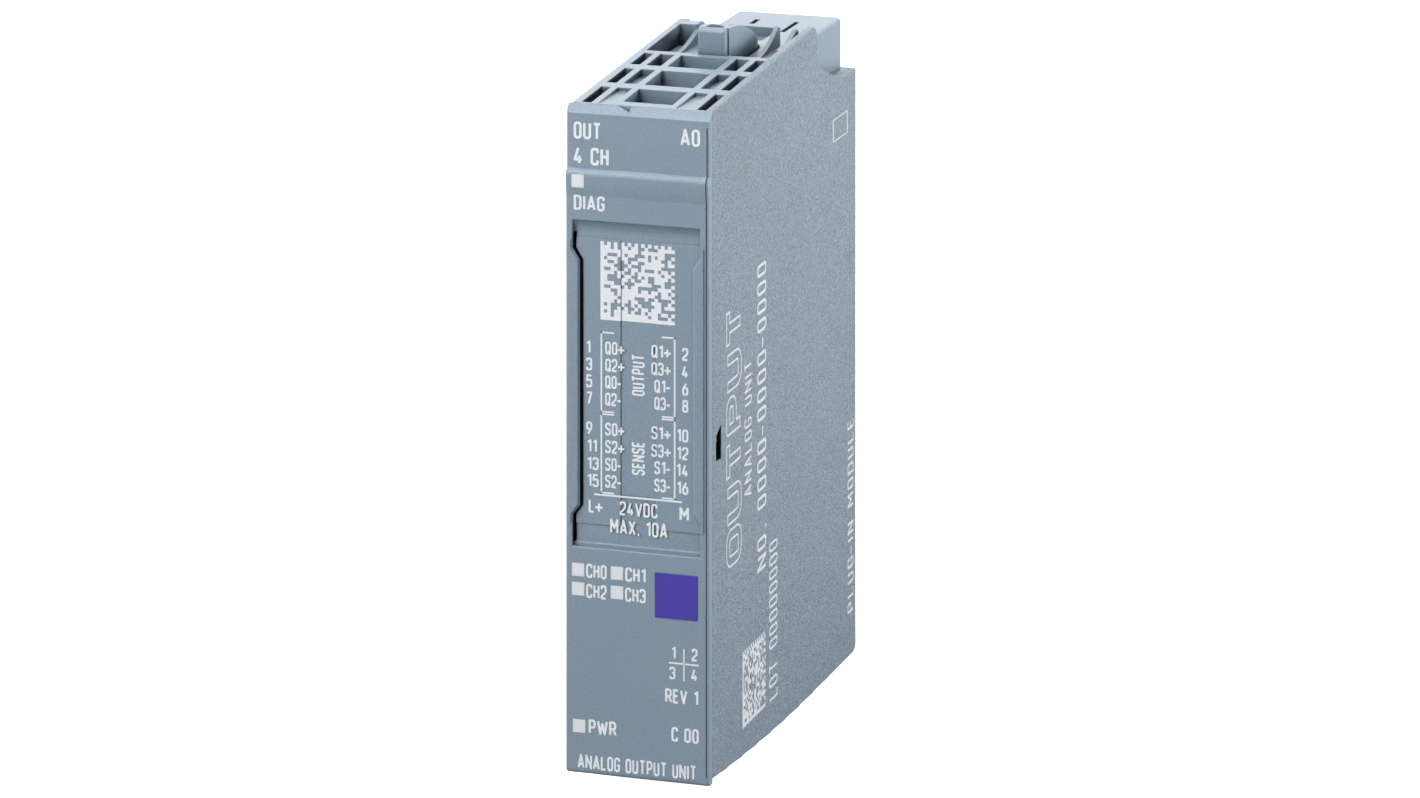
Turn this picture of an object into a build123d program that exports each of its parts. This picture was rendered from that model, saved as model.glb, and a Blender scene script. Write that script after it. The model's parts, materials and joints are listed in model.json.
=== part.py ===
"""Slim plug-in output module of a rail-mounted controller station, as separate pieces.

Every sketch is drawn on one of three families of planes, so places read as x (from the
middle of the module), depth (from the front face) and height (from the front's foot).
The origin is the middle of the rear seating face.
"""
import os

from build123d import *

os.makedirs("parts", exist_ok=True)

# ---------------------------------------------------------------- driving dimensions, mm
WIDTH = 15.0
SHELL_DEPTH = 50.6  # front face to rear seating face
PLUG_REACH = 7.2  # how far the connectors stand out behind the rear seating face
FOOT_Z = -30.0  # height of the front's foot in the part's frame
FRONT_HEIGHT = 65.42
HEADER_BACK = 0.25  # the header lies this far behind the main front face

HALF = WIDTH / 2
COVER_THICK = 0.75  # right-hand side cover
JOIN_X = HALF - COVER_THICK  # plane where tub and side cover meet
LEFT_WALL = 1.2
TUB_INNER_X = LEFT_WALL - HALF
PLATE_DEPTH = 1.1  # visible thickness of the front cover's plate
FRONT_PLUG = 2.2  # rear of the front cover's inner plug
PLUG_X = (-6.9, HALF - COVER_THICK - 0.1)  # x limits of that plug
BACK_WALL = 1.2
INNER_BACK = SHELL_DEPTH - BACK_WALL

TOP_START = 66.31  # the top face's height at the front plane
TOP_SLOPE = 0.0512  # its rise per mm of depth
PEAK_DEPTH = 36.6  # where the tall side walls end
FLOOR = 66.05  # floor of the finger recess and top of the rear block
FLOOR_THICK = 1.0
BLOCK_HALF = 5.75
BLOCK_CEILING = 64.2
DECK = 60.8  # low shoulders beside the rear block

GRILLE_DEPTHS = [(1.4, 7.5), (9.1, 14.8), (16.4, 21.0)]  # front to back
TRAY = 66.3  # floor of the shallow trays in the two front rows
OUTER_SLOTS = [(-6.3, -5.25), (5.75, JOIN_X)]  # x limits
INNER_SLOTS = [(-4.55, -3.0), (3.6, 5.05)]
CENTRE_SLOT = (-2.3, 2.9)
GRILLE_RIB = 1.6  # how deep the ribs are

FIN_THICK = 0.5
FINS = [  # x of the middle, then start, middle and end of the crest as (depth, height)
    (-4.65, (24.0, 66.35), (31.3, 66.9), (34.7, 68.05)),
    (3.85, (24.0, 66.35), (30.8, 66.84), (33.9, 68.2)),
    (6.05, (27.5, 67.15), (31.3, 67.56), (33.2, 68.2)),
]
POCKET_X = (-6.45, -4.9)  # dark pocket beside the left fin
WELL_X = (-4.3, 1.4)  # hollow behind the finger recess
WELL_BACK = 43.4
REAR_SLOTS = [((-2.6, -2.02), (44.6, 47.1)), ((1.8, 2.35), (41.5, 47.0))]  # x and depth limits

LEVER_X = 0.57  # middle of the release buttons
LEVER_WIDTH = 3.14
LEVER_WEB = 0.6
PIVOT_DEPTH = 40.0
PIVOT_HEIGHT = 62.6
TRUNNION_R = 1.2
TRUNNION_CLEARANCE = 0.05
SLOT_CLEARANCE = 0.4
MIRROR_HEIGHT = 33.56  # the lower release button mirrors the upper one about this height

BOARD_X = -5.8  # solder side of the circuit board
BOARD_THICK = 1.2
PART_X = BOARD_X + BOARD_THICK  # component side
PEG_R = 0.8
PEG_CLEARANCE = 0.05
PEG_PLACES = [(4.8, 9.0), (4.6, 62.3), (46.4, 30.1), (46.4, 58.0)]  # depth, height

WINDOW_W = 1.3  # status windows
WINDOW_H = 1.3
STEM_W = 0.9
CHANNEL_WINDOWS = [(-6.15, 20.25), (-2.08, 20.25), (-6.15, 18.35), (-2.08, 18.35)]  # x, height
DIAG_WINDOW = (-6.15, 58.85)
POWER_WINDOW = (-6.05, 4.75)
LED_DEPTH = 7.6

PROCESS_H = (7.6, 26.4)  # height limits of the terminal-side connector
PROCESS_X = (-4.5, 4.3)
BUS_H = (45.6, 56.0)
BUS_X = (-4.5, 2.4)
CODING_H = (33.8, 41.2)
CODING_X = (-3.4, 3.4)


# ------------------------------------------------------------------------------- planes
def front_plane(depth):
    """Faces the viewer: sketch points are (x, height)."""
    return Plane(origin=(0, depth - SHELL_DEPTH, FOOT_Z), x_dir=(1, 0, 0), z_dir=(0, -1, 0))


def side_plane(x):
    """Faces right: sketch points are (depth, height)."""
    return Plane(origin=(x, -SHELL_DEPTH, FOOT_Z), x_dir=(0, 1, 0), z_dir=(1, 0, 0))


def level_plane(height):
    """Faces up: sketch points are (x, depth)."""
    return Plane(origin=(0, -SHELL_DEPTH, FOOT_Z + height), x_dir=(1, 0, 0), z_dir=(0, 0, 1))


def flipped_side_plane(x):
    """The side plane mirrored about MIRROR_HEIGHT, for the lower release button's seat."""
    return Plane(
        origin=(x, -SHELL_DEPTH, FOOT_Z + 2 * MIRROR_HEIGHT), x_dir=(0, 1, 0), z_dir=(-1, 0, 0)
    )


def top_height(depth):
    """Height of the sloping top face."""
    return TOP_START + TOP_SLOPE * depth


def box_between(x, depth, height, mode=Mode.ADD):
    """Adds or cuts a box given by its limits in x, depth and height."""
    with BuildSketch(level_plane(height[0])) as base:
        with Locations(((x[0] + x[1]) / 2, (depth[0] + depth[1]) / 2)):
            Rectangle(x[1] - x[0], depth[1] - depth[0])
    extrude(base.sketch, amount=height[1] - height[0], mode=mode)


def finish(piece, name):
    """Labels a piece and writes its file."""
    piece.part.label = name
    export_step(piece.part, f"parts/{name}.step")


# ----------------------------------------------------------------------- shared outlines
def draw_side_outline():
    """Side view of the casing behind the front cover."""
    with BuildLine() as outline:
        keel = ThreePointArc((PLATE_DEPTH, 0.38), (17.8, -0.77), (40.0, -1.18))
        base = Line(keel @ 1, (SHELL_DEPTH - 1.0, -1.18))
        heel = JernArc(base @ 1, (1, 0), 1.0, 90)
        back = Line(heel @ 1, (SHELL_DEPTH, DECK))
        deck = Line(back @ 1, (45.6, 61.0))
        sweep_up = ThreePointArc(deck @ 1, (40.93, 62.18), (PEAK_DEPTH, 64.22))
        rise = Line(sweep_up @ 1, (PEAK_DEPTH, 66.9))
        peak = ThreePointArc(rise @ 1, (36.25, 67.65), (35.2, top_height(35.2)))
        roof = Line(peak @ 1, (PLATE_DEPTH, top_height(PLATE_DEPTH)))
        Line(roof @ 1, keel @ 0)
    make_face(outline.edges())


def draw_cavity_outline():
    """Side view of the room inside the tub."""
    ceiling = FLOOR - FLOOR_THICK
    with BuildLine() as outline:
        Polyline(
            (0.0, 1.7),
            (20.8, 0.7),
            (20.8, 2.3),
            (43.0, 2.3),
            (43.0, 0.2),
            (INNER_BACK, 0.1),
            (INNER_BACK, 59.6),
            (44.9, 59.8),
            (36.2, 62.6),
            (35.4, ceiling),
            (21.2, ceiling),
            (21.2, top_height(21.2) - GRILLE_RIB),
            (0.0, top_height(0.0) - GRILLE_RIB),
            close=True,
        )
    make_face(outline.edges())


# ------------------------------------------------------------------------- housing shell
def cut_grille():
    """Cooling openings through the sloping top, with shallow trays in the two front rows."""
    for row, (near, far) in enumerate(GRILLE_DEPTHS):
        for slot in OUTER_SLOTS:
            box_between(slot, (near, far), (61.0, 70.0), Mode.SUBTRACT)
        box_between(CENTRE_SLOT, (max(near, 2.5), far), (61.0, 70.0), Mode.SUBTRACT)
        # The inner openings go right through in the last row only.
        low = 61.0 if row == 2 else TRAY
        for slot in INNER_SLOTS:
            box_between(slot, (near, far), (low, 70.0), Mode.SUBTRACT)


def cut_lower_grille():
    """The same openings through the underside."""
    for near, far in GRILLE_DEPTHS:
        for slot in [*OUTER_SLOTS[:1], *INNER_SLOTS, CENTRE_SLOT]:
            box_between(slot, (max(near, 3.0), far), (-3.0, 3.0), Mode.SUBTRACT)


def draw_fin(start, middle, end):
    """A finger-guide fin: its top edge is a hollow curve through three (depth, height) points."""
    rear_depth = end[0] + 0.5
    with BuildLine() as outline:
        crest = ThreePointArc(start, middle, end)
        rear = Line(crest @ 1, (rear_depth, end[1] - 0.3))
        drop = Line(rear @ 1, (rear_depth, FLOOR - 0.5))
        sole = Line(drop @ 1, (start[0], FLOOR - 0.5))
        Line(sole @ 1, crest @ 0)
    make_face(outline.edges())


def draw_button_plan(margin):
    """Plan of a release button's head behind its front plate: rounded at the rear end."""
    side = LEVER_WIDTH / 2 + 0.05 + margin
    with BuildLine() as outline:
        front = Line((LEVER_X - side, 22.95 - 6 * margin), (LEVER_X + side, 22.95 - 6 * margin))
        right = Line(front @ 1, (LEVER_X + side, 30.5))
        end = Spline(
            right @ 1, (LEVER_X + side * 0.71, 34.1 + margin), (LEVER_X, 35.6 + margin),
            (LEVER_X - side * 0.71, 34.1 + margin), (LEVER_X - side, 30.5), tangents=((0, 1), (0, -1)),
        )
        Line(end @ 1, front @ 0)
    make_face(outline.edges())


def add_lever_ears(plane_at):
    """Two ears with bores that carry a release button's trunnions."""
    reach = LEVER_WIDTH / 2 + SLOT_CLEARANCE
    for side in (-1, 1):
        with BuildSketch(plane_at(LEVER_X + side * (reach + 0.65))) as ear:
            with BuildLine():
                Polyline(
                    (38.1, 64.9), (38.1, 61.6), (39.1, 60.6), (40.9, 60.6), (41.9, 61.6), (41.9, 64.9),
                    close=True,
                )
            make_face()
            with Locations((PIVOT_DEPTH, PIVOT_HEIGHT)):
                Circle(TRUNNION_R + TRUNNION_CLEARANCE, mode=Mode.SUBTRACT)
        extrude(ear.sketch, amount=0.65, both=True)


with BuildPart() as housing_shell:
    with BuildSketch(side_plane(-HALF)):
        draw_side_outline()
    extrude(amount=WIDTH - COVER_THICK)
    top_left = housing_shell.edges().filter_by(
        lambda edge: abs(edge.center().X + HALF) < 0.01 and edge.center().Z - FOOT_Z > 66.5
        and edge.length > 20
    )
    fillet(top_left, radius=0.5)
    box_between((-BLOCK_HALF, BLOCK_HALF), (PEAK_DEPTH - 2.0, SHELL_DEPTH), (DECK - 1.5, FLOOR))
    block_rims = housing_shell.edges().filter_by(Axis.Y).filter_by(
        lambda edge: abs(edge.center().Z - FOOT_Z - FLOOR) < 0.01
    )
    fillet(block_rims, radius=0.4)
    with BuildSketch(side_plane(TUB_INNER_X)):
        draw_cavity_outline()
    extrude(amount=JOIN_X - TUB_INNER_X, mode=Mode.SUBTRACT)
    box_between((PLUG_X[0] - 0.1, TUB_INNER_X + 0.1), (0.0, FRONT_PLUG + 0.2), (1.7, 64.6), Mode.SUBTRACT)
    box_between((-4.75, 4.75), (34.0, INNER_BACK), (58.0, BLOCK_CEILING), Mode.SUBTRACT)

    # Finger recess with its floor, fins, dark side pocket and rear well.
    box_between((TUB_INNER_X, JOIN_X), (22.0, PEAK_DEPTH), (FLOOR, 70.0), Mode.SUBTRACT)
    for x, start, middle, end in FINS:
        with BuildSketch(side_plane(x)):
            draw_fin(start, middle, end)
        extrude(amount=FIN_THICK / 2, both=True)
    box_between((-6.8, -4.6), (33.1, 35.0), (FLOOR - 0.5, 68.05))
    box_between(POCKET_X, (31.6, 33.1), (61.0, 70.0), Mode.SUBTRACT)
    box_between((POCKET_X[0], -6.1), (22.0, 31.6), (64.8, 70.0), Mode.SUBTRACT)
    box_between(WELL_X, (PEAK_DEPTH, WELL_BACK), (FLOOR - 1.1, 70.0), Mode.SUBTRACT)
    for x, depth in REAR_SLOTS:
        box_between(x, depth, (63.0, 70.0), Mode.SUBTRACT)

    cut_grille()
    cut_lower_grille()

    # Slots for the two release buttons, with their ears and the windows for their hooks.
    lever_gap = (LEVER_X - LEVER_WIDTH / 2 - SLOT_CLEARANCE, LEVER_X + LEVER_WIDTH / 2 + SLOT_CLEARANCE)
    box_between((-4.3, 3.5), (22.0, PEAK_DEPTH), (-3.0, 2 * MIRROR_HEIGHT - FLOOR), Mode.SUBTRACT)
    for low, high in [(64.0, 70.0), (-3.0, 2 * MIRROR_HEIGHT - 64.0)]:
        with BuildSketch(level_plane(low)):
            draw_button_plan(0.2)
        extrude(amount=high - low, mode=Mode.SUBTRACT)
    add_lever_ears(side_plane)
    add_lever_ears(flipped_side_plane)
    for low, high in [(60.2, BLOCK_CEILING), (2 * MIRROR_HEIGHT - BLOCK_CEILING, 2 * MIRROR_HEIGHT - 60.2)]:
        box_between(lever_gap, (INNER_BACK - 1.0, SHELL_DEPTH + 1.0), (low, high), Mode.SUBTRACT)

    # Rear windows for the connectors and the coding element.
    for x, height in [(PROCESS_X, PROCESS_H), (BUS_X, BUS_H), (CODING_X, CODING_H)]:
        box_between(
            (x[0] - 0.15, x[1] + 0.15),
            (INNER_BACK - 0.5, SHELL_DEPTH + 1.0),
            (height[0] - 0.15, height[1] + 0.15),
            Mode.SUBTRACT,
        )

    # Sockets for the side cover's pegs and pads for the circuit board.
    for depth, height in PEG_PLACES:
        with BuildSketch(side_plane(TUB_INNER_X - 0.1)):
            with Locations((depth, height)):
                Circle(PEG_R + 0.8)
        extrude(amount=JOIN_X - TUB_INNER_X + 0.1)
        with BuildSketch(side_plane(JOIN_X)):
            with Locations((depth, height)):
                Circle(PEG_R + PEG_CLEARANCE)
        extrude(amount=-2.5, mode=Mode.SUBTRACT)
    for depth, height in [(12.0, 8.0), (12.0, 57.0), (30.0, 32.0), (45.0, 30.0)]:
        with BuildSketch(side_plane(TUB_INNER_X - 0.1)):
            with Locations((depth, height)):
                Circle(1.5)
        extrude(amount=BOARD_X - TUB_INNER_X + 0.1)
finish(housing_shell, "housing_shell")

# ---------------------------------------------------------------------------- side cover
with BuildPart() as side_cover:
    with BuildSketch(side_plane(JOIN_X)):
        draw_side_outline()
    extrude(amount=COVER_THICK)
    rim = side_cover.faces().filter_by(Axis.X).sort_by(Axis.X)[-1].edges()
    fillet(rim, radius=0.22)
    with BuildSketch(side_plane(JOIN_X - 0.1)):
        with BuildLine():
            Polyline(
                (2.25, 31.5), (3.95, 31.4), (3.95, 34.85), (2.4, 34.1), (2.25, 33.75), (2.5, 33.6),
                (2.25, 33.4), close=True,
            )
        make_face()
    extrude(amount=COVER_THICK + 1.0, mode=Mode.SUBTRACT)
    # The wall is thinner on the inside round this slot.
    box_between((JOIN_X - 0.1, HALF - 0.15), (1.9, 6.8), (30.8, 35.4), Mode.SUBTRACT)
    with BuildSketch(side_plane(JOIN_X)):
        with Locations(*PEG_PLACES):
            Circle(PEG_R)
    extrude(amount=-2.0)
finish(side_cover, "side_cover")

# --------------------------------------------------------------------------- front cover
RECESS_TOP = 55.0
RECESS_RAMP_END = 53.7
RECESS_HOLLOW = (0.41, 54.41)  # middle of the curve between them
RECESS_FOOT = 22.47
RECESS_DEEP = 0.56
RECESS_X = -0.08  # middle of the recess
WIDE_HALF = 6.67
NARROW_HALF = 5.92
WALL_LEAN = 0.1  # the recess is this much narrower at its floor
RECESS_TAPER = 10.0
BORDER = 0.08  # depth of the 45 degree bevel round the recess's border
SLIT = 0.27  # width of the strip slit along the left wall
SLIT_DEEP = 1.7
SLIT_LIP = 0.16  # thickness of the lip that overhangs the slit
SLIT_UNDERCUT = 0.28
PAD_DEPTH = 0.44  # how far the pads' tops lie behind the front face
PAD_FOOT = 24.78
PAD_TOP = 53.1
LANE_HALF = 1.86
RIM_HEIGHT = 0.12
RIM_TOP = 53.03
GROOVE_X = (7.18, 7.29)
OVERCUT = 0.6  # cutting tools stand this far out of the front


def recess_side(sign, top, foot, lean=WALL_LEAN, shift=0.0):
    """Points down one side of the label recess: wide at both ends, narrow in the middle."""
    wide = WIDE_HALF - lean
    narrow = NARROW_HALF - lean
    places = [(wide, top), (wide, 52.1), (narrow, 50.95), (narrow, 26.65), (wide, 25.65), (wide, foot)]
    return [(RECESS_X + sign * x + shift, height) for x, height in places]


def draw_recess_outline(lean):
    """Front view of the whole label recess."""
    top = RECESS_TOP + 0.3
    foot = RECESS_FOOT - 0.3
    with BuildLine() as outline:
        Polyline(
            *recess_side(1, top, foot, lean), *reversed(recess_side(-1, top, foot, lean)), close=True
        )
    make_face(outline.edges())


with BuildPart() as recess_tool:
    with BuildSketch(front_plane(RECESS_DEEP)):
        draw_recess_outline(WALL_LEAN)
    extrude(amount=RECESS_DEEP + OVERCUT, taper=-RECESS_TAPER)
    with BuildSketch(front_plane(BORDER)):
        draw_recess_outline(0.0)
    extrude(amount=BORDER + OVERCUT, taper=-45)
    with BuildSketch(side_plane(-HALF)):
        with BuildLine():
            # The top end is a hollow curve that runs out level with the floor.
            hollow = ThreePointArc((0.0, RECESS_TOP), RECESS_HOLLOW, (RECESS_DEEP, RECESS_RAMP_END))
            Polyline(
                hollow @ 1, (RECESS_DEEP, 22.95), (PAD_DEPTH, 22.84), (PAD_DEPTH, RECESS_FOOT + 0.12),
                (BORDER, RECESS_FOOT + BORDER), (-OVERCUT, RECESS_FOOT - OVERCUT),
                (-OVERCUT, RECESS_TOP + OVERCUT), hollow @ 0,
            )
        make_face()
    extrude(amount=WIDTH, mode=Mode.INTERSECT)
    # Two low pads stand on the recess's floor, with a shallow lane between them.
    for x in [(-HALF, -LANE_HALF), (LANE_HALF, HALF)]:
        box_between(x, (PAD_DEPTH, RECESS_DEEP + 0.5), (PAD_FOOT, PAD_TOP), Mode.SUBTRACT)

with BuildPart() as front_cover:
    with BuildSketch(side_plane(-HALF)):
        with BuildLine():
            toe = RadiusArc((0.45, 0.0), (0.0, 0.45), 0.45)
            face = Line(toe @ 1, (0.0, 57.4))
            belly = ThreePointArc(face @ 1, (-0.14, 58.5), (-0.16, 59.25))
            shoulder = ThreePointArc(belly @ 1, (-0.05, 59.75), (HEADER_BACK, 60.05))
            header = Line(shoulder @ 1, (HEADER_BACK, FRONT_HEIGHT + 0.1))
            bevel = Line(header @ 1, (PLATE_DEPTH - 0.1, 66.3))
            crown = Line(bevel @ 1, (PLATE_DEPTH, 66.32))
            rear = Line(crown @ 1, (PLATE_DEPTH, 0.1))
            Line(rear @ 1, toe @ 0)
        make_face()
    extrude(amount=WIDTH)
    for x, radius in [(-HALF, 0.28), (HALF, 0.16)]:
        upright = front_cover.edges().filter_by(
            lambda edge: abs(edge.center().X - x) < 0.01
            and edge.center().Y + SHELL_DEPTH < HEADER_BACK + 0.1
            and edge.center().Z - FOOT_Z > 2.0
        )
        fillet(upright, radius=radius)
    box_between(PLUG_X, (PLATE_DEPTH, FRONT_PLUG), (1.9, 64.4))
    # A low rim stands around the narrow part of the label recess.
    box_between((-7.2, 6.95), (-RIM_HEIGHT, 0.3), (24.9, RIM_TOP))
    # A fine groove runs beside the right-hand edge.
    box_between(GROOVE_X, (-0.5, 0.2), (0.9, 56.8), Mode.SUBTRACT)
    box_between(GROOVE_X, (-0.5, 0.5), (56.8, 64.9), Mode.SUBTRACT)
    # A small wedge-shaped dip in the top bevel.
    with BuildSketch(front_plane(PLATE_DEPTH)):
        with BuildLine():
            Polyline((-2.5, 66.4), (-1.0, 66.4), (-1.0, 65.8), close=True)
        make_face()
    extrude(amount=0.6, mode=Mode.SUBTRACT)
    add(recess_tool.part, mode=Mode.SUBTRACT)
    # A deep slit along the recess's left wall holds the edge of a labelling strip.
    with BuildSketch(front_plane(SLIT_DEEP)):
        with BuildLine():
            Polyline(
                *recess_side(-1, 53.7, 22.9, 0.0),
                *reversed(recess_side(-1, 53.7, 22.9, 0.0, SLIT)), close=True,
            )
        make_face()
    extrude(amount=SLIT_DEEP, mode=Mode.SUBTRACT)
    with BuildSketch(front_plane(SLIT_DEEP)):
        with BuildLine():
            Polyline(
                *recess_side(-1, 53.7, 22.9, -SLIT_UNDERCUT),
                *reversed(recess_side(-1, 53.7, 22.9, 0.0)), close=True,
            )
        make_face()
    extrude(amount=SLIT_DEEP - SLIT_LIP, mode=Mode.SUBTRACT)
    # Two snap tongues behind the plug.
    for height in (12.0, 48.0):
        box_between((5.4, 6.5), (FRONT_PLUG, 4.6), (height, height + 4.0))
    # Channels for the light guides.
    for x, height in [*CHANNEL_WINDOWS, DIAG_WINDOW, POWER_WINDOW]:
        half_w = WINDOW_W / 2
        half_h = WINDOW_H / 2
        box_between(
            (x - half_w, x + half_w), (-1.0, PLATE_DEPTH), (height - half_h, height + half_h),
            Mode.SUBTRACT,
        )
        stem = max(x, TUB_INNER_X + 0.75)
        box_between(
            (stem - STEM_W / 2, stem + STEM_W / 2), (0.9, FRONT_PLUG + 0.1),
            (height - half_h, height + half_h), Mode.SUBTRACT,
        )
finish(front_cover, "front_cover")


# -------------------------------------------------------------------------- light guides
def add_guide(x, height, face_depth):
    """One light guide: a square head in the front cover and a stem back to its lamp."""
    half_w = WINDOW_W / 2
    half_h = WINDOW_H / 2
    stem = max(x, TUB_INNER_X + 0.75)
    box_between(
        (x - half_w, x + half_w), (face_depth, PLATE_DEPTH), (height - half_h, height + half_h)
    )
    box_between(
        (stem - STEM_W / 2, stem + STEM_W / 2), (PLATE_DEPTH, LED_DEPTH - 0.3),
        (height - half_h, height + half_h),
    )


with BuildPart() as light_guide_diag:
    add_guide(*DIAG_WINDOW, -0.18)
finish(light_guide_diag, "light_guide_diag")

with BuildPart() as light_guide_power:
    add_guide(*POWER_WINDOW, -0.02)
finish(light_guide_power, "light_guide_power")

with BuildPart() as light_guide_channels:
    for x, height in CHANNEL_WINDOWS:
        add_guide(x, height, -0.02)
    # A bar joins the four prongs behind the front cover.
    box_between((-6.0, -1.63), (4.0, 5.4), (17.7, 20.9))
finish(light_guide_channels, "light_guide_channels")

# ------------------------------------------------------------------------ release levers
with BuildPart() as button_head:
    with BuildSketch(side_plane(LEVER_X)):
        with BuildLine():
            front = Line((22.25, 62.2), (22.25, 69.55))
            nose = ThreePointArc(front @ 1, (22.4, 69.92), (22.75, 70.07))
            crest = ThreePointArc(nose @ 1, (28.4, 69.15), (34.6, 66.1))
            slope = Line(crest @ 1, (35.9, 64.2))
            Polyline(slope @ 1, (35.9, 62.2), front @ 0)
        make_face()
    extrude(amount=LEVER_WIDTH, both=True)
    with BuildSketch(level_plane(61.0)):
        with Locations((LEVER_X - 0.05, 23.0)):
            Rectangle(LEVER_WIDTH - 0.1, 1.5)
        draw_button_plan(0.0)
    extrude(amount=12.0, mode=Mode.INTERSECT)
    fillet(
        button_head.edges().filter_by(
            lambda edge: edge.center().Z - FOOT_Z > 66.5 and edge.center().Y + SHELL_DEPTH < 22.93
        ),
        radius=0.3,
    )

with BuildPart() as release_button_top:
    add(button_head.part)
    with BuildSketch(side_plane(LEVER_X)):
        with BuildLine():
            Polyline(
                (30.0, 62.2), (30.0, 64.2), (35.4, 64.2), (36.4, 63.4), (52.9, 63.4), (53.2, 60.9),
                (52.6, 60.7), (51.7, 61.8), (36.4, 61.8), (34.5, 62.2), close=True,
            )
        make_face()
    extrude(amount=LEVER_WIDTH / 2, both=True)
    box_between(
        (LEVER_X - LEVER_WIDTH / 2 + LEVER_WEB, LEVER_X + LEVER_WIDTH / 2 - LEVER_WEB),
        (22.85, 33.6), (63.2, 72.0), Mode.SUBTRACT,
    )
    with BuildSketch(side_plane(LEVER_X)):
        with Locations((PIVOT_DEPTH, PIVOT_HEIGHT)):
            Circle(TRUNNION_R)
    extrude(amount=LEVER_WIDTH / 2 + SLOT_CLEARANCE + 1.2, both=True)
finish(release_button_top, "release_button_top")

with BuildPart() as release_button_bottom:
    mirror(release_button_top.part, about=level_plane(MIRROR_HEIGHT))
finish(release_button_bottom, "release_button_bottom")

# ----------------------------------------------------------------------- printed circuit
with BuildPart() as main_board:
    with BuildSketch(side_plane(BOARD_X)):
        with BuildLine():
            Polyline(
                (LED_DEPTH, 3.2), (48.6, 3.2), (48.6, 58.6), (43.0, 58.6), (36.0, 60.6),
                (LED_DEPTH, 60.6), close=True,
            )
        make_face()
        with Locations(*PEG_PLACES[2:]):
            Circle(PEG_R + 1.1, mode=Mode.SUBTRACT)
    extrude(amount=BOARD_THICK)
finish(main_board, "main_board")


def make_chips(name, places, depth_size, height_size, thick):
    """A group of like rectangular parts on the board's component side."""
    with BuildPart() as chips:
        with BuildSketch(side_plane(PART_X)):
            with Locations(*places):
                Rectangle(depth_size, height_size)
        extrude(amount=thick)
    finish(chips, name)


make_chips("controller_chip", [(24.0, 41.0)], 7.0, 7.0, 0.9)
make_chips("converter_chip", [(20.0, 27.5)], 5.0, 5.0, 0.85)
make_chips("isolator_chips", [(38.2, 33.0), (38.2, 46.0)], 7.5, 10.3, 2.3)
make_chips("output_driver_chips", [(13.0 + 7.0 * i, 17.5) for i in range(4)], 4.9, 3.9, 1.5)
make_chips("surge_diodes", [(13.5 + 6.0 * i, 9.5) for i in range(4)], 4.3, 3.6, 2.2)
make_chips("crystal", [(24.0, 48.6)], 3.2, 2.5, 0.8)
make_chips("fuse", [(14.0, 52.5)], 6.1, 2.6, 2.4)
make_chips("resistors", [(12.0 + 2.4 * i, 22.3) for i in range(10)], 0.85, 1.6, 0.45)
make_chips("ceramic_capacitors", [(16.0, 34.5 + 2.2 * i) for i in range(8)], 1.6, 0.85, 0.85)
make_chips(
    "status_leds",
    [(LED_DEPTH + 0.9, height) for height in (58.85, 20.25, 18.35, 4.75)], 1.6, 0.85, 0.7,
)

with BuildPart() as inductor:
    with BuildSketch(side_plane(PART_X)):
        with Locations((31.0, 41.0)):
            RectangleRounded(6.0, 6.0, 1.2)
    extrude(amount=3.0)
finish(inductor, "inductor")

with BuildPart() as electrolytic_capacitors:
    with BuildSketch(side_plane(PART_X)):
        with Locations((27.0, 54.5), (34.5, 54.5)):
            Circle(3.1)
    extrude(amount=5.4)
    fillet(electrolytic_capacitors.edges().group_by(Axis.X)[-1], radius=0.4)
finish(electrolytic_capacitors, "electrolytic_capacitors")

with BuildPart() as transformer_core:
    with BuildSketch(side_plane(PART_X)):
        with Locations((29.5, 29.0)):
            Rectangle(8.4, 9.6)
            Rectangle(6.0, 7.4, mode=Mode.SUBTRACT)
            Rectangle(8.4, 2.6)
    extrude(amount=5.2)
finish(transformer_core, "transformer_core")

with BuildPart() as transformer_winding:
    with BuildSketch(side_plane(PART_X + 0.4)):
        with Locations((29.5, 31.5), (29.5, 26.5)):
            Rectangle(5.6, 2.2)
    extrude(amount=4.4)
finish(transformer_winding, "transformer_winding")


# ----------------------------------------------------------------------- rear connectors
def make_connector(name, x, height, columns, rows, pitch_x, pitch_h):
    """A socket strip that passes through the rear wall, with a contact in each chamber."""
    middle = ((x[0] + x[1]) / 2, (height[0] + height[1]) / 2)
    front_depth = INNER_BACK - 7.0
    with BuildPart() as body:
        box_between(x, (front_depth, SHELL_DEPTH + PLUG_REACH), height)
        with BuildSketch(front_plane(SHELL_DEPTH + PLUG_REACH)):
            with Locations(middle):
                with GridLocations(pitch_x, pitch_h, columns, rows):
                    Rectangle(pitch_x * 0.55, pitch_h * 0.62)
        extrude(amount=9.0, mode=Mode.SUBTRACT)
    finish(body, f"{name}_body")
    with BuildPart() as contacts:
        with BuildSketch(front_plane(SHELL_DEPTH + PLUG_REACH - 1.0)):
            with Locations(middle):
                with GridLocations(pitch_x, pitch_h, columns, rows):
                    with Locations((pitch_x * 0.15, 0), (-pitch_x * 0.15, 0)):
                        Rectangle(pitch_x * 0.1, pitch_h * 0.42)
        extrude(amount=8.0)
    finish(contacts, f"{name}_contacts")


make_connector("process_connector", PROCESS_X, PROCESS_H, 2, 8, 4.0, 2.2)
make_connector("bus_connector", BUS_X, BUS_H, 2, 6, 2.8, 1.6)

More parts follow.
